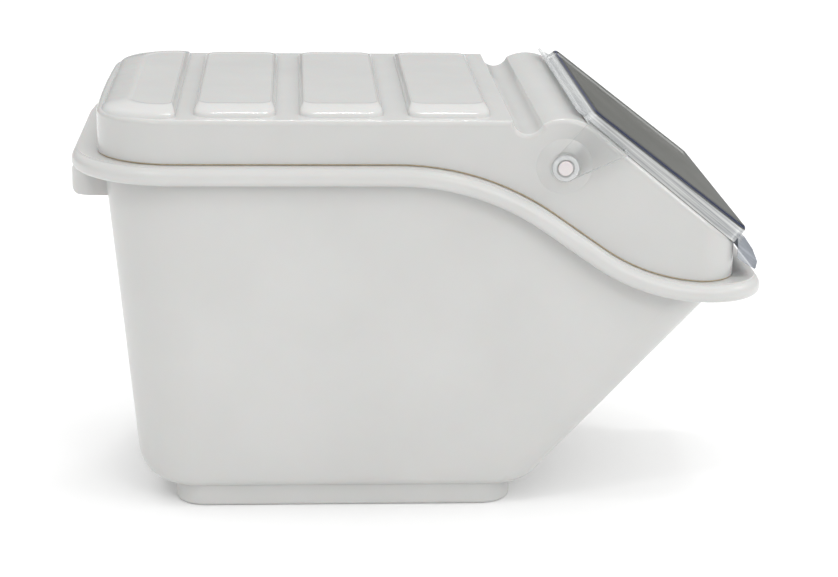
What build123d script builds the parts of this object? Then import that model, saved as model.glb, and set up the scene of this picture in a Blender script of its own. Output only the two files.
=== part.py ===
from build123d import *
from math import atan, cos, pi, radians, sin, sqrt
import os

# Shelf bin for dry pet food: a slant-front tub, a lift-off lid and a clear flip-up front cover.
#
# Frame: +X towards the pouring front, +Z up, millimetres. The origin is on the surface that
# the bin stands on, at the centre of its outline.

# Rim of the tub, and the finger grip under its rear
RIM_REAR, RIM_FRONT = -246.0, 249.0
RIM_HALF = 146.0
RIM_REAR_CORNER, RIM_FRONT_CORNER = 76.0, 40.0
RIM_DEPTH = 13.5
RIM_WALL = 3.2
RIM_TOP_ROUND, RIM_LOW_ROUND = 8.0, 4.5
GRIP_REAR, GRIP_HALF = -249.0, 60.0
GRIP_LOW, GRIP_TOP = 221.5, 243.0
GRIP_WALL = 2.6
GRIP_NECK = -239.5  # rear face of the neck between the grip and the rim

# Tub walls. Each wall starts at its foot, out from the middle and level with the floor's
# underside, leans out by its lean per millimetre of height, and meets the floor in its bend
TUB_WALL = 2.8
FLOOR_UNDER = 15.5
REAR_FOOT, REAR_LEAN, REAR_BEND = 199.5, 0.1033, 25.0
SIDE_FOOT, SIDE_LEAN, SIDE_BEND = 118.0, 0.067, 9.0
FRONT_FOOT, FRONT_LEAN, FRONT_BEND = 84.5, 0.915, 27.0
BEND_HEIGHT, BEND_SECTIONS = 30.0, 11
TOP_SECTION = 270.0
MOUTH_HALF, MOUTH_END = 125.0, 217.0
MOUTH_REAR_CORNER, MOUTH_FRONT_CORNER = 60.0, 30.0

# Standing ring under the floor
FOOT_REAR, FOOT_FRONT, FOOT_HALF = -174.5, 72.5, 112.0
FOOT_CORNER = 23.0
FOOT_WIDTH = 6.5

# Ledge that the lid rests on: level at the rear, an S bend down, level at the front
LEDGE_REAR, LEDGE_FRONT = 261.0, 176.5
BEND_START = -16.0
BEND_ANGLE = 35.0
CREST_RADIUS, DIP_RADIUS = 193.5, 135.5

# Lid
LID_REAR, LID_FRONT, LID_HALF = -228.0, 228.0, 137.5
LID_REAR_CORNER, LID_FRONT_CORNER = 56.0, 28.0
LID_BOW = 4.0  # how far the rear edge's middle stands out behind its ends
LID_TOP = 292.5
LID_WALL = 2.6
LID_ROUND = 3.5
SEAL_GAP, SEAL_TOP = 0.3, 1.2
RIB_CLEAR, RIB_WALL, RIB_DROP = 0.6, 2.0, 8.0

# Raised pads on top of the lid, each from start to end along X, and the trough across it
PADS = ((-157.0, -99.5), (-83.5, -24.5), (-7.5, 50.5))
PAD_HALF, PAD_RAMP, PAD_TOP = 127.0, 27.0, 298.0
PAD_SIDE, PAD_SECTIONS = 4.0, 4
TROUGH_X, TROUGH_Z, TROUGH_RADIUS, TROUGH_LIP = 75.0, 294.0, 11.0, 3.0

# The knuckle of the lid round the cover's pivot, and the seat that slopes down to the front
PIVOT_X, PIVOT_Z = 100.9, 260.8
SEAT_ANGLE = 39.0
KNUCKLE_RADIUS = 33.2
KNUCKLE_LEAD = 31.0
BOSS_BASE, BOSS_TOP, BOSS_INNER = 21.0, 11.0, 128.0
CHEEK_FACE = 140.8

# Pouring mouth and the coaming round it: start and end down the seat, half width
POUR_MOUTH = (10.0, 116.0, 112.0)
POUR_CORNER = 16.0
COAMING = (7.0, 119.0, 115.0)
COAMING_CORNER, COAMING_HEIGHT = 19.0, 4.0

# Front cover, measured down the seat and above it
COVER_WALL = 2.3
COVER_GAP = 0.3
COVER_HALF = 128.0
COVER_BACK, COVER_FRONT = -6.0, 134.5
COVER_BACK_TOP, COVER_FRONT_TOP = 10.3, 14.0
COVER_CORNER = 7.0
EAR_START, EAR_END, EAR_TOP = -8.0, 28.0, 2.7
EAR_INNER, EAR_OUTER = 141.1, 143.2
HUB_RADIUS, HUB_FACE = 9.5, 144.8
RIB_HEIGHTS = (3.2, 5.4, 7.6)
RIB_PROUD = 0.5

# Side views of the cover's lips: distance down the seat, distance above it
BACK_LIP = ((-7.0, 1.5), (-13.0, 0.6), (-17.6, 1.4), (-17.2, 3.6), (-12.6, 3.0), (-7.0, 4.5))
FRONT_LIP = (
    (133.0, 8.0),
    (136.5, 8.0),
    (147.0, 5.0),
    (156.0, 0.2),
    (158.8, -5.0),
    (156.6, -5.6),
    (154.0, -1.2),
    (146.0, 2.4),
    (136.5, 5.0),
    (133.0, 5.0),
)
LIP_GUSSET = (
    (133.0, 5.0),
    (136.5, 8.0),
    (147.0, 5.0),
    (156.0, 0.2),
    (158.8, -5.0),
    (150.3, -6.5),
    (143.0, -7.0),
    (138.0, 0.0),
)
BACK_LIP_HALF, FRONT_LIP_HALF = 120.0, 125.0

# Hinge pins
PIN_RADIUS, PIN_CLEAR = 4.0, 0.06
PIN_HEAD = 5.2
PIN_SHOULDER, PIN_FACE = 143.5, 145.5

CROSS = 400.0  # longer than anything is wide


# ---------------------------------------------------------------- outlines seen from above


def plan(rear, front, half, rear_corner, front_corner):
    """A rectangle with two rear and two front corner radii, as a sketch."""
    with BuildSketch(mode=Mode.PRIVATE) as outline:
        with Locations(((rear + front) / 2, 0)):
            Rectangle(front - rear, 2 * half)
        fillet(outline.vertices().group_by(Axis.X)[0], rear_corner)
        fillet(outline.vertices().group_by(Axis.X)[-1], front_corner)
    return outline.sketch


def prism(outline, low=0.0, high=320.0):
    """An upright solid of an outline."""
    with BuildPart(mode=Mode.PRIVATE) as solid:
        with BuildSketch(Plane.XY.offset(low)):
            add(outline)
        extrude(amount=high - low)
    return solid.part


def rim_prism(inset=0.0):
    return prism(
        plan(
            RIM_REAR + inset,
            RIM_FRONT - inset,
            RIM_HALF - inset,
            RIM_REAR_CORNER - inset,
            RIM_FRONT_CORNER - inset,
        )
    )


def mouth_outline(inset=0.0):
    """The tub's mouth, just inside the ledge."""
    return plan(
        -MOUTH_END + inset,
        MOUTH_END - inset,
        MOUTH_HALF - inset,
        MOUTH_REAR_CORNER - inset,
        MOUTH_FRONT_CORNER - inset,
    )


def mouth_prism(inset=0.0):
    return prism(mouth_outline(inset))


def plan_ring(outer_inset, inner_inset):
    """The ring between two insets of the mouth's outline."""
    with BuildSketch(mode=Mode.PRIVATE) as ring:
        add(mouth_outline(outer_inset))
        add(mouth_outline(inner_inset), mode=Mode.SUBTRACT)
    return ring.sketch


# ---------------------------------------------------------------- the S bend, side view


def ledge_points(lift):
    """The end points and arc middles of the ledge line, raised by lift along its normal."""
    total = CREST_RADIUS + DIP_RADIUS
    rise = LEDGE_FRONT - LEDGE_REAR + total
    angle = radians(BEND_ANGLE)
    bend_end = BEND_START + (total - rise * cos(angle)) / sin(angle)
    crest, dip = CREST_RADIUS + lift, DIP_RADIUS - lift
    crest_z, dip_z = LEDGE_REAR - CREST_RADIUS, LEDGE_FRONT + DIP_RADIUS

    def on_crest(a):
        return BEND_START + crest * sin(a), crest_z + crest * cos(a)

    def in_dip(a):
        return bend_end - dip * sin(a), dip_z - dip * cos(a)

    return (
        (on_crest(0), on_crest(angle / 2), on_crest(angle)),
        (in_dip(angle), in_dip(angle / 2), in_dip(0)),
    )


def ledge_line(lift):
    """Draws the ledge line raised by lift, right across, and gives its two far ends."""
    crest, dip = ledge_points(lift)
    start = Line((-CROSS, crest[0][1]), crest[0])
    ThreePointArc(*crest)
    Line(crest[2], dip[0])
    ThreePointArc(*dip)
    finish = Line(dip[2], (CROSS, dip[2][1]))
    return start @ 0, finish @ 1


def ledge_band(low, high):
    """Everything between the ledge line raised by low and the same line raised by high."""
    with BuildPart(mode=Mode.PRIVATE) as band:
        with BuildSketch(Plane.XZ):
            with BuildLine():
                rear_low, front_low = ledge_line(low)
                rear_high, front_high = ledge_line(high)
                Line(rear_low, rear_high)
                Line(front_low, front_high)
            make_face()
        extrude(amount=CROSS / 2, both=True)
    return band.part


def ledge_side(lift, far_z):
    """Everything between the ledge line raised by lift and the level far_z."""
    with BuildPart(mode=Mode.PRIVATE) as side:
        with BuildSketch(Plane.XZ):
            with BuildLine():
                rear, front = ledge_line(lift)
                Polyline((rear.X, rear.Y), (-CROSS, far_z), (CROSS, far_z), (front.X, front.Y))
            make_face()
        extrude(amount=CROSS / 2, both=True)
    return side.part


# ---------------------------------------------------------------- tub shell


def wall_at(z, foot, lean, radius):
    """How far out a wall stands at height z, in mm from the middle of the tub.

    The wall starts at foot, where it would meet the floor's underside, leans out by lean per
    millimetre of height, and joins the floor in an arc of that radius.
    """
    up = z - FLOOR_UNDER
    slant = atan(lean)
    if up >= radius * (1 - sin(slant)):
        return foot + lean * up
    centre = foot + lean * radius - radius / cos(slant)
    return centre + sqrt(max(radius**2 - (radius - up) ** 2, 0.0))


def tub_section(z, inset):
    """The tub's outline at a height, moved in by inset square to each wall."""
    up = inset if inset else 0.0

    def out(foot, lean, bend):
        slant = atan(lean)
        base = foot - inset / cos(slant) + lean * up
        return wall_at(z - up, base, lean, max(bend - inset, 3.0))

    rear = out(REAR_FOOT, REAR_LEAN, REAR_BEND)
    side = out(SIDE_FOOT, SIDE_LEAN, SIDE_BEND)
    front = out(FRONT_FOOT, FRONT_LEAN, FRONT_BEND)
    share = (z - FLOOR_UNDER) / (TOP_SECTION - FLOOR_UNDER)
    rear_corner = 36 + 36 * share - inset
    front_corner = 27 + 11 * share - inset
    shrink = (REAR_FOOT + REAR_LEAN * (z - FLOOR_UNDER) - rear) * 0.55
    return plan(-rear, front, side, rear_corner - shrink, front_corner - shrink / 2)


def tub_form(inset, top=TOP_SECTION):
    """The tub's outer form, or its inner form when inset is the wall's thickness."""
    floor = FLOOR_UNDER + inset
    # Sections crowd together at both ends of the bend, which keeps the loft from swinging out
    steps = [(1 - cos(pi * step / BEND_SECTIONS)) / 2 for step in range(BEND_SECTIONS + 1)]
    levels = [floor + BEND_HEIGHT * step for step in steps]
    with BuildPart(mode=Mode.PRIVATE) as form:
        for z in levels:
            with BuildSketch(Plane.XY.offset(z)):
                add(tub_section(z, inset))
        loft()
        with BuildSketch(Plane.XY.offset(levels[-1])):
            add(tub_section(levels[-1], inset))
        with BuildSketch(Plane.XY.offset(top)):
            add(tub_section(top, inset))
        loft(ruled=True)
    return form.part


outer_form = tub_form(0.0)
inner_form = tub_form(TUB_WALL)


# ---------------------------------------------------------------- small helpers


def side_prism(outline, half=CROSS / 2):
    """A solid of a side-view outline, drawn in X and Z, reaching half to either side."""
    with BuildPart(mode=Mode.PRIVATE) as solid:
        with BuildSketch(Plane.XZ):
            add(outline)
        extrude(amount=half, both=True)
    return solid.part


def cross_rod(x, z, radius, low, high):
    """A round bar lying along Y, between y = low and y = high."""
    with BuildPart(mode=Mode.PRIVATE) as rod:
        with BuildSketch(Plane.XZ.offset(-low)):
            with Locations((x, z)):
                Circle(radius)
        extrude(amount=low - high)
    return rod.part


# ---------------------------------------------------------------- tub


def foot_ring():
    """The standing ring under the floor, open underneath."""
    outer = plan(FOOT_REAR, FOOT_FRONT, FOOT_HALF, FOOT_CORNER, FOOT_CORNER)
    inner = plan(
        FOOT_REAR + FOOT_WIDTH,
        FOOT_FRONT - FOOT_WIDTH,
        FOOT_HALF - FOOT_WIDTH,
        FOOT_CORNER - FOOT_WIDTH,
        FOOT_CORNER - FOOT_WIDTH,
    )
    with BuildPart(mode=Mode.PRIVATE) as ring:
        add(prism(outer, 0.0, FLOOR_UNDER + 1.5))
        fillet(ring.faces().sort_by(Axis.Z)[0].edges(), 2.5)
        add(prism(inner, -1.0, FLOOR_UNDER), mode=Mode.SUBTRACT)
    return ring.part


def grip_outline(inset):
    """Side view of the finger grip under the rear of the rim."""
    low = GRIP_LOW - 4 * inset
    with BuildSketch(Plane.XZ, mode=Mode.PRIVATE) as outline:
        with BuildLine():
            Polyline(
                (-210, GRIP_TOP - inset),
                (GRIP_REAR + inset, GRIP_TOP - inset),
                (GRIP_REAR + inset, low),
                (-210, low),
                close=True,
            )
        make_face()
        fillet(outline.vertices().sort_by(Axis.X)[:2], 5.5 - inset)
    return outline.sketch


def grip_neck():
    """Side view of the neck that joins the grip to the rim."""
    with BuildSketch(Plane.XZ, mode=Mode.PRIVATE) as outline:
        with Locations(((GRIP_NECK - 210) / 2, GRIP_TOP)):
            Rectangle(-210 - GRIP_NECK, 12)
    return outline.sketch


def grip_pocket():
    """The space for the fingers inside the grip."""
    with BuildPart(mode=Mode.PRIVATE) as pocket:
        add(side_prism(grip_outline(GRIP_WALL)))
        outline = plan(GRIP_REAR + GRIP_WALL, -200, GRIP_HALF - GRIP_WALL, 16 - GRIP_WALL, 2)
        add(prism(outline), mode=Mode.INTERSECT)
    return pocket.part


def finger_grip():
    """The grip under the rear of the rim: a rounded hood, open underneath."""
    with BuildPart(mode=Mode.PRIVATE) as grip:
        add(side_prism(grip_outline(0.0)))
        add(side_prism(grip_neck()))
        add(prism(plan(GRIP_REAR, -200, GRIP_HALF, 16, 2)), mode=Mode.INTERSECT)
        add(grip_pocket(), mode=Mode.SUBTRACT)
        add(ledge_side(-RIM_WALL - 1.0, -50.0), mode=Mode.INTERSECT)
        add(inner_form, mode=Mode.SUBTRACT)
    return grip.part


def rim_edges(faces, upward):
    """The outer edges of the rim's top (upward 1) or underside (upward -1)."""
    chosen = []
    for face in faces:
        if face.normal_at(face.center()).Z * upward < 0.5:
            continue
        for edge in face.edges():
            middle = edge.center()
            seam = abs(middle.Y) < 1 and RIM_REAR + 5 < middle.X < RIM_FRONT - 5
            if not seam:
                chosen.append(edge)
    return chosen


def rolled_rim():
    """The rim around the tub: a band that follows the ledge, with rounded outer edges."""
    with BuildPart(mode=Mode.PRIVATE) as rim:
        add(rim_prism())
        add(ledge_band(-RIM_DEPTH, 0.0), mode=Mode.INTERSECT)
        fillet(rim_edges(rim.faces(), 1), RIM_TOP_ROUND)
        fillet(rim_edges(rim.faces(), -1), RIM_LOW_ROUND)
        add(rim_prism(RIM_WALL + 2.0), mode=Mode.SUBTRACT)
    with BuildPart(mode=Mode.PRIVATE) as shelf:
        add(rim_prism(RIM_WALL + 1.0))
        add(ledge_band(-RIM_WALL, 0.0), mode=Mode.INTERSECT)
    with BuildPart(mode=Mode.PRIVATE) as both:
        add(rim.part)
        add(shelf.part)
    return both.part


def mouth_cut():
    with BuildPart(mode=Mode.PRIVATE) as cut:
        add(mouth_prism())
        add(ledge_band(-RIM_WALL - 2.0, 5.0), mode=Mode.INTERSECT)
    return cut.part


with BuildPart() as bin_body:
    add(outer_form)
    add(ledge_side(-1.0, -50.0), mode=Mode.INTERSECT)
    add(foot_ring())
    add(inner_form, mode=Mode.SUBTRACT)
    add(finger_grip())
    add(rolled_rim())
    add(mouth_cut(), mode=Mode.SUBTRACT)
bin_body.part.label = "bin_body"


# ---------------------------------------------------------------- lid


def lid_plan(inset=0.0):
    """The lid's outline from above: its rear edge is slightly bowed."""
    rear, front, half = LID_REAR + inset, LID_FRONT - inset, LID_HALF - inset
    with BuildSketch(mode=Mode.PRIVATE) as outline:
        with BuildLine():
            ThreePointArc((rear + LID_BOW, -half), (rear, 0), (rear + LID_BOW, half))
            Polyline((rear + LID_BOW, half), (front, half), (front, -half), (rear + LID_BOW, -half))
        make_face()
        fillet(outline.vertices().group_by(Axis.X)[0], LID_REAR_CORNER - inset)
        fillet(outline.vertices().group_by(Axis.X)[-1], LID_FRONT_CORNER - inset)
    return outline.sketch


def about_pivot(angle, radius):
    """The point at that angle, in degrees from +X towards +Z, and distance from the pivot."""
    return PIVOT_X + radius * cos(radians(angle)), PIVOT_Z + radius * sin(radians(angle))


def lid_outline(inset=0.0):
    """Side view of the lid's top: flat, a trough, the knuckle round the pivot, then the seat."""
    radius = KNUCKLE_RADIUS - inset
    top = LID_TOP - inset
    knuckle_start = about_pivot(90 + KNUCKLE_LEAD, radius)
    knuckle_end = about_pivot(90 - SEAT_ANGLE, radius)
    reach = 200.0
    seat_end = (
        knuckle_end[0] + reach * cos(radians(SEAT_ANGLE)),
        knuckle_end[1] - reach * sin(radians(SEAT_ANGLE)),
    )
    with BuildSketch(Plane.XZ, mode=Mode.PRIVATE) as outline:
        with BuildLine():
            Polyline((-CROSS, 0), (-CROSS, top), (TROUGH_X, top), knuckle_start)
            ThreePointArc(knuckle_start, about_pivot(90, radius), knuckle_end)
            Polyline(knuckle_end, seat_end, (seat_end[0], 0), (-CROSS, 0))
        make_face()
        with Locations((TROUGH_X, TROUGH_Z)):
            Circle(TROUGH_RADIUS + inset, mode=Mode.SUBTRACT)
        lips = [
            v
            for v in outline.vertices()
            if abs(v.X - TROUGH_X) < TROUGH_RADIUS + inset + 1 and v.Z > LID_TOP - 5
        ]
        fillet(lips, TROUGH_LIP)
    return outline.sketch


def raised(outline_at, inset):
    """A raised area of the lid whose sides curve over to a flat top.

    outline_at gives the outline at a share, from 0 at the foot of the curve to 1 at the top.
    """
    base = LID_TOP - 1 - inset
    rise = PAD_TOP - LID_TOP + 1
    with BuildPart(mode=Mode.PRIVATE) as solid:
        for step in range(PAD_SECTIONS + 1):
            turn = radians(90 * step / PAD_SECTIONS)
            with BuildSketch(Plane.XY.offset(base + rise * sin(turn))):
                add(outline_at(1 - cos(turn)))
        loft()
    return solid.part


def pad(start, end, inset=0.0):
    """One raised pad across the top of the lid: steep along its length, ramped at both ends."""

    def outline_at(share):
        along = PAD_SIDE * share + inset
        across = PAD_HALF - PAD_RAMP * share - inset
        with BuildSketch(mode=Mode.PRIVATE) as outline:
            with Locations(((start + end) / 2, 0)):
                RectangleRounded(end - start - 2 * along, 2 * across, 12 - 3 * share - inset)
        return outline.sketch

    return raised(outline_at, inset)


def rear_pad(inset=0.0):
    """The raised area behind the pads: long gentle ramps at the rear and at both sides."""

    def outline_at(share):
        return plan(
            -223 + 22 * share + inset,
            -169 - PAD_SIDE * share - inset,
            132 - 28 * share - inset,
            44 - 24 * share - inset,
            7 - share - inset,
        )

    return raised(outline_at, inset)


seat_start = about_pivot(90 - SEAT_ANGLE, KNUCKLE_RADIUS)
seat_dir = (cos(radians(SEAT_ANGLE)), 0, -sin(radians(SEAT_ANGLE)))
# The seat's own frame: X down the slope, Z square to it
seat_plane = Plane(
    origin=(seat_start[0], 0, seat_start[1]),
    x_dir=seat_dir,
    z_dir=(sin(radians(SEAT_ANGLE)), 0, cos(radians(SEAT_ANGLE))),
)
# The same seen from the side: X down the slope, Y square to it
seat_side = Plane(origin=seat_plane.origin, x_dir=seat_dir, z_dir=(0, -1, 0))


def mouth_block(start, end, half, corner, low, high):
    """A block square to the seat, from start to end down the slope, with rounded corners."""
    with BuildPart(mode=Mode.PRIVATE) as solid:
        with BuildSketch(seat_plane.offset(low)):
            with Locations(((start + end) / 2, 0)):
                RectangleRounded(end - start, 2 * half, corner)
        extrude(amount=high - low)
    return solid.part


def hinge_boss(side):
    """The conical cheek outside one wall of the lid and the round boss inside it."""
    with BuildPart(mode=Mode.PRIVATE) as boss:
        with BuildSketch(Plane.XZ.offset(-side * (LID_HALF - 0.5))):
            with Locations((PIVOT_X, PIVOT_Z)):
                Circle(BOSS_BASE)
        with BuildSketch(Plane.XZ.offset(-side * CHEEK_FACE)):
            with Locations((PIVOT_X, PIVOT_Z)):
                Circle(BOSS_TOP)
        loft()
    inner = cross_rod(PIVOT_X, PIVOT_Z, 8.0, side * BOSS_INNER, side * (LID_HALF - 1))
    return boss.part + inner


def lid_crest_edges(edges):
    """The edges round the top of the hood, without those that run across the trough."""
    chosen = []
    for edge in edges:
        middle, way = edge.center(), edge.tangent_at(0.5)
        upright = abs(way.Z) > 0.9
        across_trough = abs(way.Y) > 0.95 and middle.X > 50 and middle.Z > 210
        if middle.Z > 185 and edge.length > 1 and not upright and not across_trough:
            chosen.append(edge)
    return chosen


def lid_cavity():
    """The hollow of the hood, above its bottom flange, with the undersides of the pads."""
    with BuildPart(mode=Mode.PRIVATE) as hollow:
        add(prism(lid_plan(LID_WALL)))
        add(side_prism(lid_outline(LID_WALL)), mode=Mode.INTERSECT)
        for start, end in PADS:
            add(pad(start, end, LID_WALL))
        add(rear_pad(LID_WALL))
        add(ledge_side(SEAL_TOP + LID_WALL, 400.0), mode=Mode.INTERSECT)
    return hollow.part


def lid_throat():
    """The clear way up from the tub into the hood, inside the locating rib."""
    with BuildPart(mode=Mode.PRIVATE) as throat:
        add(mouth_prism(RIB_CLEAR + RIB_WALL))
        add(side_prism(lid_outline(LID_WALL)), mode=Mode.INTERSECT)
    return throat.part


def locating_rib():
    """The rib under the lid that drops into the tub's mouth."""
    with BuildPart(mode=Mode.PRIVATE) as rib:
        add(prism(plan_ring(RIB_CLEAR, RIB_CLEAR + RIB_WALL)))
        add(ledge_band(-RIB_DROP, SEAL_TOP + LID_WALL), mode=Mode.INTERSECT)
    return rib.part


with BuildPart() as lid:
    add(prism(lid_plan()))
    add(side_prism(lid_outline()), mode=Mode.INTERSECT)
    fillet(lid_crest_edges(lid.edges()), LID_ROUND)
    for start, end in PADS:
        add(pad(start, end))
    add(rear_pad())
    add(mouth_block(*COAMING, COAMING_CORNER, -1.0, COAMING_HEIGHT))
    add(ledge_side(SEAL_TOP, 400.0), mode=Mode.INTERSECT)
    add(lid_cavity(), mode=Mode.SUBTRACT)
    add(lid_throat(), mode=Mode.SUBTRACT)
    add(locating_rib())
    add(mouth_block(*POUR_MOUTH, POUR_CORNER, -12.0, 12.0), mode=Mode.SUBTRACT)
    for side in (-1, 1):
        add(hinge_boss(side))
        bore = cross_rod(PIVOT_X, PIVOT_Z, PIN_RADIUS, side * 120.0, side * 145.0)
        add(bore, mode=Mode.SUBTRACT)
lid.part.label = "lid"


# ---------------------------------------------------------------- seal


with BuildPart() as lid_seal:
    add(prism(lid_plan(0.6)))
    add(mouth_prism(-0.6), mode=Mode.SUBTRACT)
    add(ledge_band(SEAL_GAP, SEAL_TOP), mode=Mode.INTERSECT)
lid_seal.part.label = "lid_seal"


# ---------------------------------------------------------------- front cover


def cover_tray(inset=0.0):
    """The cover's form over the seat, or its hollow when inset is the wall's thickness."""
    low = COVER_GAP - 6.0 * inset
    back, front = COVER_BACK + inset, COVER_FRONT - inset
    back_low = back - 0.25 * (COVER_BACK_TOP - low)
    with BuildSketch(seat_side, mode=Mode.PRIVATE) as outline:
        with BuildLine():
            Polyline(
                (back_low, low),
                (back, COVER_BACK_TOP - inset),
                (front, COVER_FRONT_TOP - inset),
                (front, low),
                close=True,
            )
        make_face()
    with BuildPart(mode=Mode.PRIVATE) as tray:
        extrude(outline.sketch, amount=COVER_HALF - inset, both=True)
        corners = [e for e in tray.edges() if abs(e.tangent_at(0.5).Y) < 0.1 and e.length < 60]
        fillet(corners, COVER_CORNER - inset)
        top = tray.faces().sort_by(Axis((0, 0, 0), tuple(seat_plane.z_dir)))[-1]
        fillet(top.edges(), 3.0 - inset / 2)
    return tray.part


def side_outline(points, round_off):
    """A closed side-view outline from points down the seat and above it, corners rounded."""
    with BuildSketch(seat_side, mode=Mode.PRIVATE) as outline:
        with BuildLine():
            Polyline(*points, close=True)
        make_face()
        fillet(outline.vertices(), round_off)
    return outline.sketch


def seat_bar(start, end, y, low, high):
    """A thin rib that runs down the slope on one side of the cover."""
    with BuildPart(mode=Mode.PRIVATE) as bar:
        with BuildSketch(seat_plane.offset(low)):
            with Locations(((start + end) / 2, y)):
                Rectangle(end - start, RIB_PROUD * 2)
        extrude(amount=high - low)
    return bar.part


def slab(outline, start, end):
    """A solid of a side-view outline between y = start and y = end."""
    moved = outline.moved(Location((0, start, 0)))
    way = (0, 1 if end > start else -1, 0)
    return extrude(moved, amount=abs(end - start), dir=way, mode=Mode.PRIVATE)


def cover_ear(side):
    """One side ear: a bridge out over the lid's shoulder, a plate down to the pivot, a ring."""
    with BuildSketch(seat_side, mode=Mode.PRIVATE) as bridge:
        with Locations(((EAR_START + EAR_END) / 2, (COVER_GAP + EAR_TOP) / 2)):
            Rectangle(EAR_END - EAR_START, EAR_TOP - COVER_GAP)
    with BuildSketch(seat_side, mode=Mode.PRIVATE) as plate:
        with Locations(((EAR_START + EAR_END) / 2, (COVER_GAP + EAR_TOP) / 2)):
            Rectangle(EAR_END - EAR_START, EAR_TOP - COVER_GAP)
        with Locations((0, -KNUCKLE_RADIUS)):
            Circle(HUB_RADIUS)
        make_hull()
    ear = slab(plate.sketch, side * EAR_INNER, side * EAR_OUTER)
    ear = ear + slab(bridge.sketch, side * (COVER_HALF - 2), side * EAR_OUTER)
    hub = cross_rod(PIVOT_X, PIVOT_Z, HUB_RADIUS, side * EAR_OUTER, side * HUB_FACE)
    recess = cross_rod(PIVOT_X, PIVOT_Z, HUB_RADIUS - 3.2, side * EAR_OUTER, side * (HUB_FACE + 1))
    bore = cross_rod(PIVOT_X, PIVOT_Z, PIN_RADIUS + PIN_CLEAR, side * 130.0, side * 150.0)
    return ear + hub - recess - bore


with BuildPart() as front_cover:
    add(cover_tray())
    add(cover_tray(COVER_WALL), mode=Mode.SUBTRACT)
    back_lip = side_outline(BACK_LIP, 0.8)
    add(slab(back_lip, -BACK_LIP_HALF, BACK_LIP_HALF))
    front_lip = side_outline(FRONT_LIP, 0.8)
    add(slab(front_lip, -FRONT_LIP_HALF, FRONT_LIP_HALF))
    gusset = side_outline(LIP_GUSSET, 0.8)
    for side in (-1, 1):
        add(slab(gusset, side * (FRONT_LIP_HALF - COVER_WALL), side * FRONT_LIP_HALF))
        add(cover_ear(side))
        for height in RIB_HEIGHTS:
            add(seat_bar(4.0, 126.0, side * COVER_HALF, height, height + 1.0))
front_cover.part.label = "front_cover"


# ---------------------------------------------------------------- hinge pins


def hinge_pin(side):
    """A headed pin that lies along Y, from the lid's boss out through the cover's ear."""
    shaft = cross_rod(PIVOT_X, PIVOT_Z, PIN_RADIUS, side * 129.0, side * PIN_SHOULDER)
    with BuildPart(mode=Mode.PRIVATE) as head:
        add(cross_rod(PIVOT_X, PIVOT_Z, PIN_HEAD, side * PIN_SHOULDER, side * PIN_FACE))
        rim = head.edges().filter_by(GeomType.CIRCLE).sort_by(Axis.Y)
        fillet(rim[-1] if side > 0 else rim[0], 0.9)
    return shaft + head.part


with BuildPart() as hinge_pin_right:
    add(hinge_pin(-1))
hinge_pin_right.part.label = "hinge_pin_right"

with BuildPart() as hinge_pin_left:
    add(hinge_pin(1))
hinge_pin_left.part.label = "hinge_pin_left"


# ---------------------------------------------------------------- files


os.makedirs("parts", exist_ok=True)
for node in (bin_body, lid, lid_seal, front_cover, hinge_pin_right, hinge_pin_left):
    export_step(node.part, f"parts/{node.part.label}.step")
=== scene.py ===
"""Looks, light and camera for the slant-front pet food bin."""

from math import cos, radians, sin

import bpy
from mathutils import Euler, Matrix, Vector

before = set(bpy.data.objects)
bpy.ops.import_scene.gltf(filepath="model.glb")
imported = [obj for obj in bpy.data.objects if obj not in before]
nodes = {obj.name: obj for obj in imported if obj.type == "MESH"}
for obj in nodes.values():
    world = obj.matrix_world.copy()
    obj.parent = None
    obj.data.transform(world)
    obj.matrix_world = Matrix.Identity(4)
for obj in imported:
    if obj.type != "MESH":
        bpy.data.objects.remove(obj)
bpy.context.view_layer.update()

# Lengths are in metres, apart from the lens and sensor, in millimetres.
# The seat that the front cover rests on: where it starts, and how steeply it slopes down
SEAT_START = Vector((0.1218, 0.0, 0.2866))
SEAT_ANGLE = radians(39.0)
DOWN_SEAT = Vector((cos(SEAT_ANGLE), 0.0, -sin(SEAT_ANGLE)))
ABOVE_SEAT = Vector((sin(SEAT_ANGLE), 0.0, cos(SEAT_ANGLE)))
# The cover's top plate rises a little towards the front
PLATE_HEIGHT = 0.01046
PLATE_RISE = 0.0263
PLATE_WALL = 0.0023
# Bands that the cover's looks fade over. Below the top of its plate:
PLATE_FADE = (-PLATE_WALL - 0.0008, -PLATE_WALL - 0.0002)
EDGE_LOW_FADE, EDGE_HIGH_FADE = (-0.0019, -0.0014), (-0.0007, -0.0002)
# Down the seat, into the front lip:
LIP_FADE = (0.1345, 0.1375)
# Out from the middle, between the skirt and the ears:
EAR_FADE = (0.1292, 0.1305)
# Out from the hinge pins' axis, into and out of the ring round each pin:
PIVOT = Vector((0.1009, 0.0, 0.2608))
RING_IN_FADE, RING_OUT_FADE = (0.0055, 0.0068), (0.0088, 0.0098)

# Camera
CAMERA_PLACE = Vector((-0.0889, -1.6181, 0.5960))
CAMERA_LENS, CAMERA_SENSOR = 94.07, 36.0
CAMERA_DOWN, CAMERA_YAW, CAMERA_ROLL = radians(15.93), radians(3.46), radians(0.82)

# Sky: its strength low down and overhead, and how far up a direction points in between
SKY_LOW, SKY_HIGH = 0.26, 1.17
SKY_FADE = (0.05, 0.55)
FLOOR_SIZE = 14.0
FLOOR_WHITE = (0.96, 0.96, 0.96)

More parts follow.
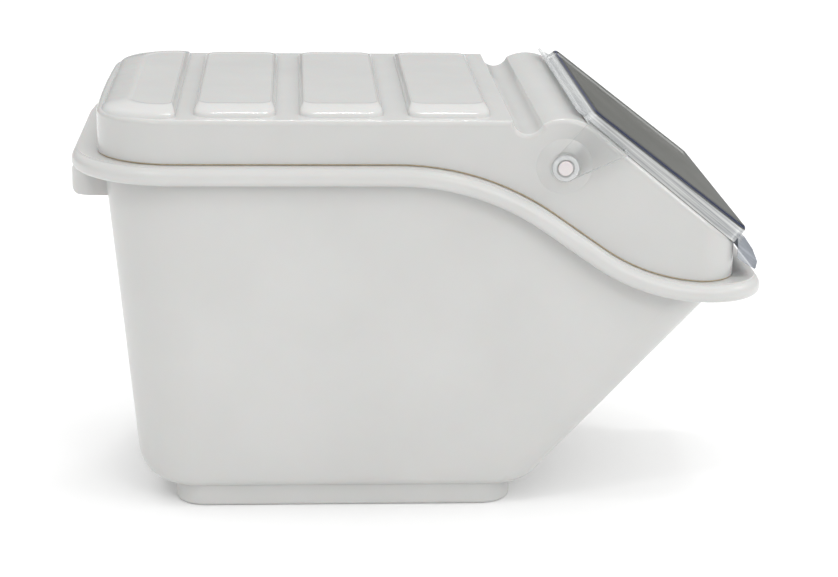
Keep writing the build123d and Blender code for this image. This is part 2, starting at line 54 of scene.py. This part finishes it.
# Each light: name, place, what it points at, width and height, watts
LIGHTS = (
    ("front_softbox", (1.0, -1.9, 1.3), (0.0, 0.0, 0.15), (0.9, 0.7), 7.0),
    ("back_strip", (0.05, 1.3, 2.1), (0.0, 0.0, 0.25), (0.6, 0.12), 6.0),
    ("seat_glint", (1.45, -0.25, 1.1), (0.2, -0.1, 0.2), (0.25, 0.25), 3.0),
    ("left_glint", (-0.9, -1.1, 1.5), (0.0, 0.0, 0.25), (0.12, 0.12), 2.4),
    ("right_glint", (0.55, -0.55, 1.8), (0.0, 0.0, 0.25), (0.16, 0.12), 1.5),
)

# Pairs of colours that each finish clouds between
TUB_DARK, TUB_LIGHT = (0.565, 0.565, 0.552), (0.590, 0.590, 0.578)
LID_DARK, LID_LIGHT = (0.535, 0.535, 0.523), (0.555, 0.555, 0.543)
PIN_DARK, PIN_LIGHT = (0.640, 0.600, 0.600), (0.670, 0.630, 0.630)
# The seal's tan pair is partly painted warm shade from the joint between lid and rim
SEAL_DARK, SEAL_LIGHT = (0.52, 0.42, 0.27), (0.66, 0.55, 0.38)
# The top plate's dark pair: a grey tint, partly painted reflection of dark surroundings
PLATE_TINT_AND_REFLECTION_DARK, PLATE_TINT_AND_REFLECTION_LIGHT = (0.115, 0.118, 0.105), (0.150, 0.152, 0.138)
# Light and dark of the painted reflection streaks in the clear skirt
CLEAR_DARK, CLEAR_LIGHT = (0.74, 0.76, 0.78), (0.96, 0.97, 0.96)
LIP_GREY = (0.50, 0.53, 0.58)
# A painted dark shade line round the top plate's upper edge
EDGE_SHADE_BLUE = (0.035, 0.045, 0.11)
# The noise values at which clouds and streaks reach their two ends
CLOUD_LOW, CLOUD_HIGH = 0.3, 0.7
STREAK_LOW, STREAK_HIGH = 0.35, 0.60
STREAK_SHARE_FADE = (0.35, 0.65)

# Patches of noise to the metre
CLOUD_SCALE, GLOSS_SCALE, PLATE_TINT_AND_REFLECTION_SCALE = 14.0, 25.0, 18.0
SEAL_CLOUD_SCALE, PORE_SCALE = 300.0, 1500.0
STREAK_DOWN, STREAK_ACROSS, STREAK_ABOVE = 10.0, 7.0, 700.0

# The cover's gloss, on the skirt and on the top plate
SKIRT_ROUGHNESS, PLATE_ROUGHNESS = 0.10, 0.35
SKIRT_SPECULAR, PLATE_SPECULAR = 0.5, 0.12
# How much of the cover's own plastic shows, against what lies behind it
SKIRT_SHARE = (0.34, 0.54)
EAR_PART = 0.1  # of the skirt's share
RING_SHARE, LIP_SHARE, PLATE_SHARE, EDGE_SHARE = 0.45, 0.42, 0.36, 0.8
MIRROR_IOR = 1.4


# ---------------------------------------------------------------- camera


def make_camera():
    """The camera stands to the bin's right-hand side, a little to the rear and above the lid."""
    data = bpy.data.cameras.new("camera")
    data.sensor_width = CAMERA_SENSOR
    data.lens = CAMERA_LENS
    camera = bpy.data.objects.new("camera", data)
    aim = Euler((radians(90.0) - CAMERA_DOWN, 0.0, -CAMERA_YAW), "XYZ").to_matrix()
    aim = aim @ Matrix.Rotation(CAMERA_ROLL, 3, "Z")
    camera.matrix_world = Matrix.Translation(CAMERA_PLACE) @ aim.to_4x4()
    bpy.context.scene.collection.objects.link(camera)
    bpy.context.scene.camera = camera


# ---------------------------------------------------------------- stage and light


def world_light():
    """A bright overhead sky that dims towards the horizon, which the level surfaces mirror."""
    world = bpy.data.worlds.new("studio")
    world.use_nodes = True
    tree = world.node_tree
    direction = tree.nodes.new("ShaderNodeTexCoord").outputs["Generated"]
    upright = tree.nodes.new("ShaderNodeSeparateXYZ")
    tree.links.new(direction, upright.inputs["Vector"])
    strength = spread(tree, upright.outputs["Z"], *SKY_FADE, SKY_LOW, SKY_HIGH)
    background = tree.nodes["Background"]
    background.inputs["Color"].default_value = (1.0, 1.0, 1.0, 1.0)
    tree.links.new(strength, background.inputs["Strength"])
    bpy.context.scene.world = world


def area_light(name, place, target, size, power):
    """A rectangular light at a place, turned to face its target."""
    data = bpy.data.lights.new(name, "AREA")
    data.shape = "RECTANGLE"
    data.size, data.size_y = size
    data.energy = power
    light = bpy.data.objects.new(name, data)
    light.location = place
    aim = Vector(target) - Vector(place)
    light.rotation_euler = aim.to_track_quat("-Z", "Y").to_euler()
    bpy.context.scene.collection.objects.link(light)


def make_floor():
    """A plain pale floor, far wider than the bin."""
    for piece in bpy.context.selected_objects:
        piece.select_set(False)
    bpy.ops.mesh.primitive_plane_add(size=FLOOR_SIZE)
    floor = bpy.context.active_object
    floor.name = "floor"
    material = bpy.data.materials.new("floor")
    material.use_nodes = True
    shader = material.node_tree.nodes["Principled BSDF"]
    shader.inputs["Base Color"].default_value = (*FLOOR_WHITE, 1.0)
    shader.inputs["Roughness"].default_value = 1.0
    shader.inputs["Specular IOR Level"].default_value = 0.0
    floor.data.materials.append(material)


# ---------------------------------------------------------------- node helpers


def new_material(name):
    """A material with its node tree and its shader."""
    material = bpy.data.materials.new(name)
    material.use_nodes = True
    tree = material.node_tree
    return material, tree, tree.nodes["Principled BSDF"]


def object_position(tree):
    """The place on the piece, in metres."""
    return tree.nodes.new("ShaderNodeTexCoord").outputs["Object"]


def noise(tree, position, scale, detail=2.0):
    """Soft values that wander between 0 and 1, with scale patches to a unit of position."""
    node = tree.nodes.new("ShaderNodeTexNoise")
    node.inputs["Scale"].default_value = scale
    node.inputs["Detail"].default_value = detail
    tree.links.new(position, node.inputs["Vector"])
    return node.outputs["Fac"]


def ramp(tree, value, low, dark, high, light):
    """The colour dark up to the value low, and light from the value high."""
    node = tree.nodes.new("ShaderNodeValToRGB")
    first, last = node.color_ramp.elements
    first.position, first.color = low, (*dark, 1.0)
    last.position, last.color = high, (*light, 1.0)
    tree.links.new(value, node.inputs["Fac"])
    return node.outputs["Color"]


def clouded(tree, position, scale, detail, dark, light):
    """A colour that drifts between two close shades."""
    return ramp(tree, noise(tree, position, scale, detail), CLOUD_LOW, dark, CLOUD_HIGH, light)


def spread(tree, value, low, high, to_low=0.0, to_high=1.0):
    """Maps low..high to to_low..to_high, held at both ends."""
    node = tree.nodes.new("ShaderNodeMapRange")
    node.inputs["From Min"].default_value = low
    node.inputs["From Max"].default_value = high
    node.inputs["To Min"].default_value = to_low
    node.inputs["To Max"].default_value = to_high
    tree.links.new(value, node.inputs["Value"])
    return node.outputs["Result"]


def arithmetic(tree, operation, first, second=0.0):
    """One step of arithmetic on sockets or plain numbers. ABSOLUTE needs only the first."""
    node = tree.nodes.new("ShaderNodeMath")
    node.operation = operation
    for socket, value in zip(node.inputs, (first, second)):
        if isinstance(value, float):
            socket.default_value = value
        else:
            tree.links.new(value, socket)
    return node.outputs["Value"]


def along(tree, position, way, origin):
    """How far the position lies along a direction, in metres from the origin."""
    node = tree.nodes.new("ShaderNodeVectorMath")
    node.operation = "DOT_PRODUCT"
    node.inputs[1].default_value = way
    tree.links.new(position, node.inputs[0])
    return arithmetic(tree, "SUBTRACT", node.outputs["Value"], float(origin.dot(way)))


def mix_colour(tree, share, first, second):
    """The first colour where share is 0, and the second where it is 1."""
    node = tree.nodes.new("ShaderNodeMix")
    node.data_type = "RGBA"
    tree.links.new(share, node.inputs["Factor"])
    for socket, value in ((node.inputs["A"], first), (node.inputs["B"], second)):
        if isinstance(value, tuple):
            socket.default_value = (*value, 1.0)
        else:
            tree.links.new(value, socket)
    return node.outputs["Result"]


def bump(tree, height, strength, distance):
    """A surface normal tilted by a height."""
    node = tree.nodes.new("ShaderNodeBump")
    node.inputs["Strength"].default_value = strength
    node.inputs["Distance"].default_value = distance
    tree.links.new(height, node.inputs["Height"])
    return node.outputs["Normal"]


# ---------------------------------------------------------------- materials


def moulded_plastic(name, dark, light, roughness, specular):
    """Moulded polypropylene: faint clouding in the colour and slightly uneven gloss."""
    material, tree, shader = new_material(name)
    position = object_position(tree)
    clouds = clouded(tree, position, CLOUD_SCALE, 3.0, dark, light)
    tree.links.new(clouds, shader.inputs["Base Color"])
    patches = noise(tree, position, GLOSS_SCALE)
    smooth, dull = roughness - 0.02, roughness + 0.02
    gloss = spread(tree, patches, CLOUD_LOW, CLOUD_HIGH, smooth, dull)
    tree.links.new(gloss, shader.inputs["Roughness"])
    shader.inputs["Specular IOR Level"].default_value = specular
    shader.inputs["Subsurface Weight"].default_value = 0.1
    shader.inputs["Subsurface Scale"].default_value = 0.004
    return material


def seal_painted_warm_shade():
    """Tan with fine pores, for the seal in the joint between lid and rim; the tan is partly painted
    warm shade from that joint.
    """
    material, tree, shader = new_material("seal_tan")
    position = object_position(tree)
    colour = clouded(tree, position, SEAL_CLOUD_SCALE, 2.0, SEAL_DARK, SEAL_LIGHT)
    tree.links.new(colour, shader.inputs["Base Color"])
    pores = noise(tree, position, PORE_SCALE)
    tree.links.new(bump(tree, pores, strength=0.3, distance=0.0003), shader.inputs["Normal"])
    shader.inputs["Roughness"].default_value = 0.8
    return material


def plate_and_edge(tree, position):
    """Two masks: the cover's top plate, and the thin line of painted dark shade that runs round its
    upper edge.
    """
    square_to_plate = ABOVE_SEAT - PLATE_RISE * DOWN_SEAT
    top = SEAT_START + PLATE_HEIGHT * ABOVE_SEAT
    depth = along(tree, position, square_to_plate, top)
    plate = spread(tree, depth, *PLATE_FADE)
    edge_low = spread(tree, depth, *EDGE_LOW_FADE)
    edge_high = spread(tree, depth, *EDGE_HIGH_FADE, 1.0, 0.0)
    return plate, arithmetic(tree, "MULTIPLY", edge_low, edge_high)


def ridge_and_reflection_streaks(tree, down, across, above):
    """Fine lines round the skirt, parallel to the seat: small ridges through the bump, and painted
    reflections through the colour.
    """
    slope = tree.nodes.new("ShaderNodeCombineXYZ")
    tree.links.new(arithmetic(tree, "MULTIPLY", down, STREAK_DOWN), slope.inputs["X"])
    tree.links.new(arithmetic(tree, "MULTIPLY", across, STREAK_ACROSS), slope.inputs["Y"])
    tree.links.new(arithmetic(tree, "MULTIPLY", above, STREAK_ABOVE), slope.inputs["Z"])
    return noise(tree, slope.outputs["Vector"], 1.0, 3.0)


def hub_ring(tree, position):
    """How much plastic shows in the thick ring round each hinge pin, and none elsewhere."""
    flat = tree.nodes.new("ShaderNodeVectorMath")
    flat.operation = "MULTIPLY"
    flat.inputs[1].default_value = (1.0, 0.0, 1.0)
    tree.links.new(position, flat.inputs[0])
    from_pivot = tree.nodes.new("ShaderNodeVectorMath")
    from_pivot.operation = "DISTANCE"
    from_pivot.inputs[1].default_value = PIVOT
    tree.links.new(flat.outputs["Vector"], from_pivot.inputs[0])
    radius = from_pivot.outputs["Value"]
    inside = spread(tree, radius, *RING_IN_FADE)
    outside = spread(tree, radius, *RING_OUT_FADE, RING_SHARE, 0.0)
    return arithmetic(tree, "MULTIPLY", inside, outside)


def let_through(tree, shader, share):
    """Shows the shader by its share, and what lies behind it by the rest."""
    clear = tree.nodes.new("ShaderNodeBsdfTransparent")
    clear.inputs["Color"].default_value = (0.99, 0.99, 0.99, 1.0)
    mixer = tree.nodes.new("ShaderNodeMixShader")
    tree.links.new(share, mixer.inputs["Fac"])
    tree.links.new(clear.outputs["BSDF"], mixer.inputs[1])
    tree.links.new(shader.outputs["BSDF"], mixer.inputs[2])
    tree.links.new(mixer.outputs["Shader"], tree.nodes["Material Output"].inputs["Surface"])


def cover_plastic():
    """Clear styrene: a top plate darkened by grey tint and painted reflection, with a painted blue
    shade line round its upper edge, and clear skirt, ears and lips with painted reflection streaks.
    """
    material, tree, shader = new_material("cover_clear")
    position = object_position(tree)
    sideways = tree.nodes.new("ShaderNodeSeparateXYZ")
    tree.links.new(position, sideways.inputs["Vector"])
    across = sideways.outputs["Y"]
    down = along(tree, position, DOWN_SEAT, SEAT_START)
    above = along(tree, position, ABOVE_SEAT, SEAT_START)
    plate, edge = plate_and_edge(tree, position)
    streaks = ridge_and_reflection_streaks(tree, down, across, above)
    lip = spread(tree, down, *LIP_FADE)

    # The skirt's light and dark streaks are painted reflections
    skirt = ramp(tree, streaks, STREAK_LOW, CLEAR_DARK, STREAK_HIGH, CLEAR_LIGHT)
    # The top plate's dark colour is partly a grey tint and partly painted reflection
    tint_and_reflection = clouded(tree, position, PLATE_TINT_AND_REFLECTION_SCALE, 2.0, PLATE_TINT_AND_REFLECTION_DARK, PLATE_TINT_AND_REFLECTION_LIGHT)
    colour = mix_colour(tree, lip, skirt, LIP_GREY)
    colour = mix_colour(tree, plate, colour, tint_and_reflection)
    # Paints the dark blue shade line round the plate's upper edge
    colour = mix_colour(tree, edge, colour, EDGE_SHADE_BLUE)
    tree.links.new(colour, shader.inputs["Base Color"])
    roughness = spread(tree, plate, 0.0, 1.0, SKIRT_ROUGHNESS, PLATE_ROUGHNESS)
    tree.links.new(roughness, shader.inputs["Roughness"])
    specular = spread(tree, plate, 0.0, 1.0, SKIRT_SPECULAR, PLATE_SPECULAR)
    tree.links.new(specular, shader.inputs["Specular IOR Level"])
    tree.links.new(bump(tree, streaks, strength=0.04, distance=0.0004), shader.inputs["Normal"])

    # The ears are the clearest, apart from their rings, and the painted shade line at the edge hides
    # the most
    skirt_share = spread(tree, streaks, *STREAK_SHARE_FADE, *SKIRT_SHARE)
    out = arithmetic(tree, "ABSOLUTE", across)
    ear_fade = spread(tree, out, *EAR_FADE, 1.0, EAR_PART)
    share = arithmetic(tree, "MULTIPLY", skirt_share, ear_fade)
    share = arithmetic(tree, "MAXIMUM", share, hub_ring(tree, position))
    for mask, most in ((lip, LIP_SHARE), (plate, PLATE_SHARE), (edge, EDGE_SHARE)):
        share = arithmetic(tree, "MAXIMUM", share, arithmetic(tree, "MULTIPLY", mask, most))
    mirror = tree.nodes.new("ShaderNodeFresnel")
    mirror.inputs["IOR"].default_value = MIRROR_IOR
    share = arithmetic(tree, "MAXIMUM", share, mirror.outputs["Fac"])
    let_through(tree, shader, share)
    return material


def dress(node, material):
    """Gives a piece its one material."""
    mesh = nodes[node].data
    mesh.materials.clear()
    mesh.materials.append(material)


# ---------------------------------------------------------------- the scene


make_camera()
world_light()
make_floor()
for light in LIGHTS:
    area_light(*light)

tub_white = moulded_plastic("tub_white", TUB_DARK, TUB_LIGHT, roughness=0.30, specular=0.5)
lid_white = moulded_plastic("lid_white", LID_DARK, LID_LIGHT, roughness=0.16, specular=0.4)
pin_white = moulded_plastic("pin_white", PIN_DARK, PIN_LIGHT, roughness=0.25, specular=0.5)
dress("bin_body", tub_white)
dress("lid", lid_white)
dress("lid_seal", seal_painted_warm_shade())
dress("front_cover", cover_plastic())
dress("hinge_pin_left", pin_white)
dress("hinge_pin_right", pin_white)

bpy.context.scene.view_settings.view_transform = "Standard"
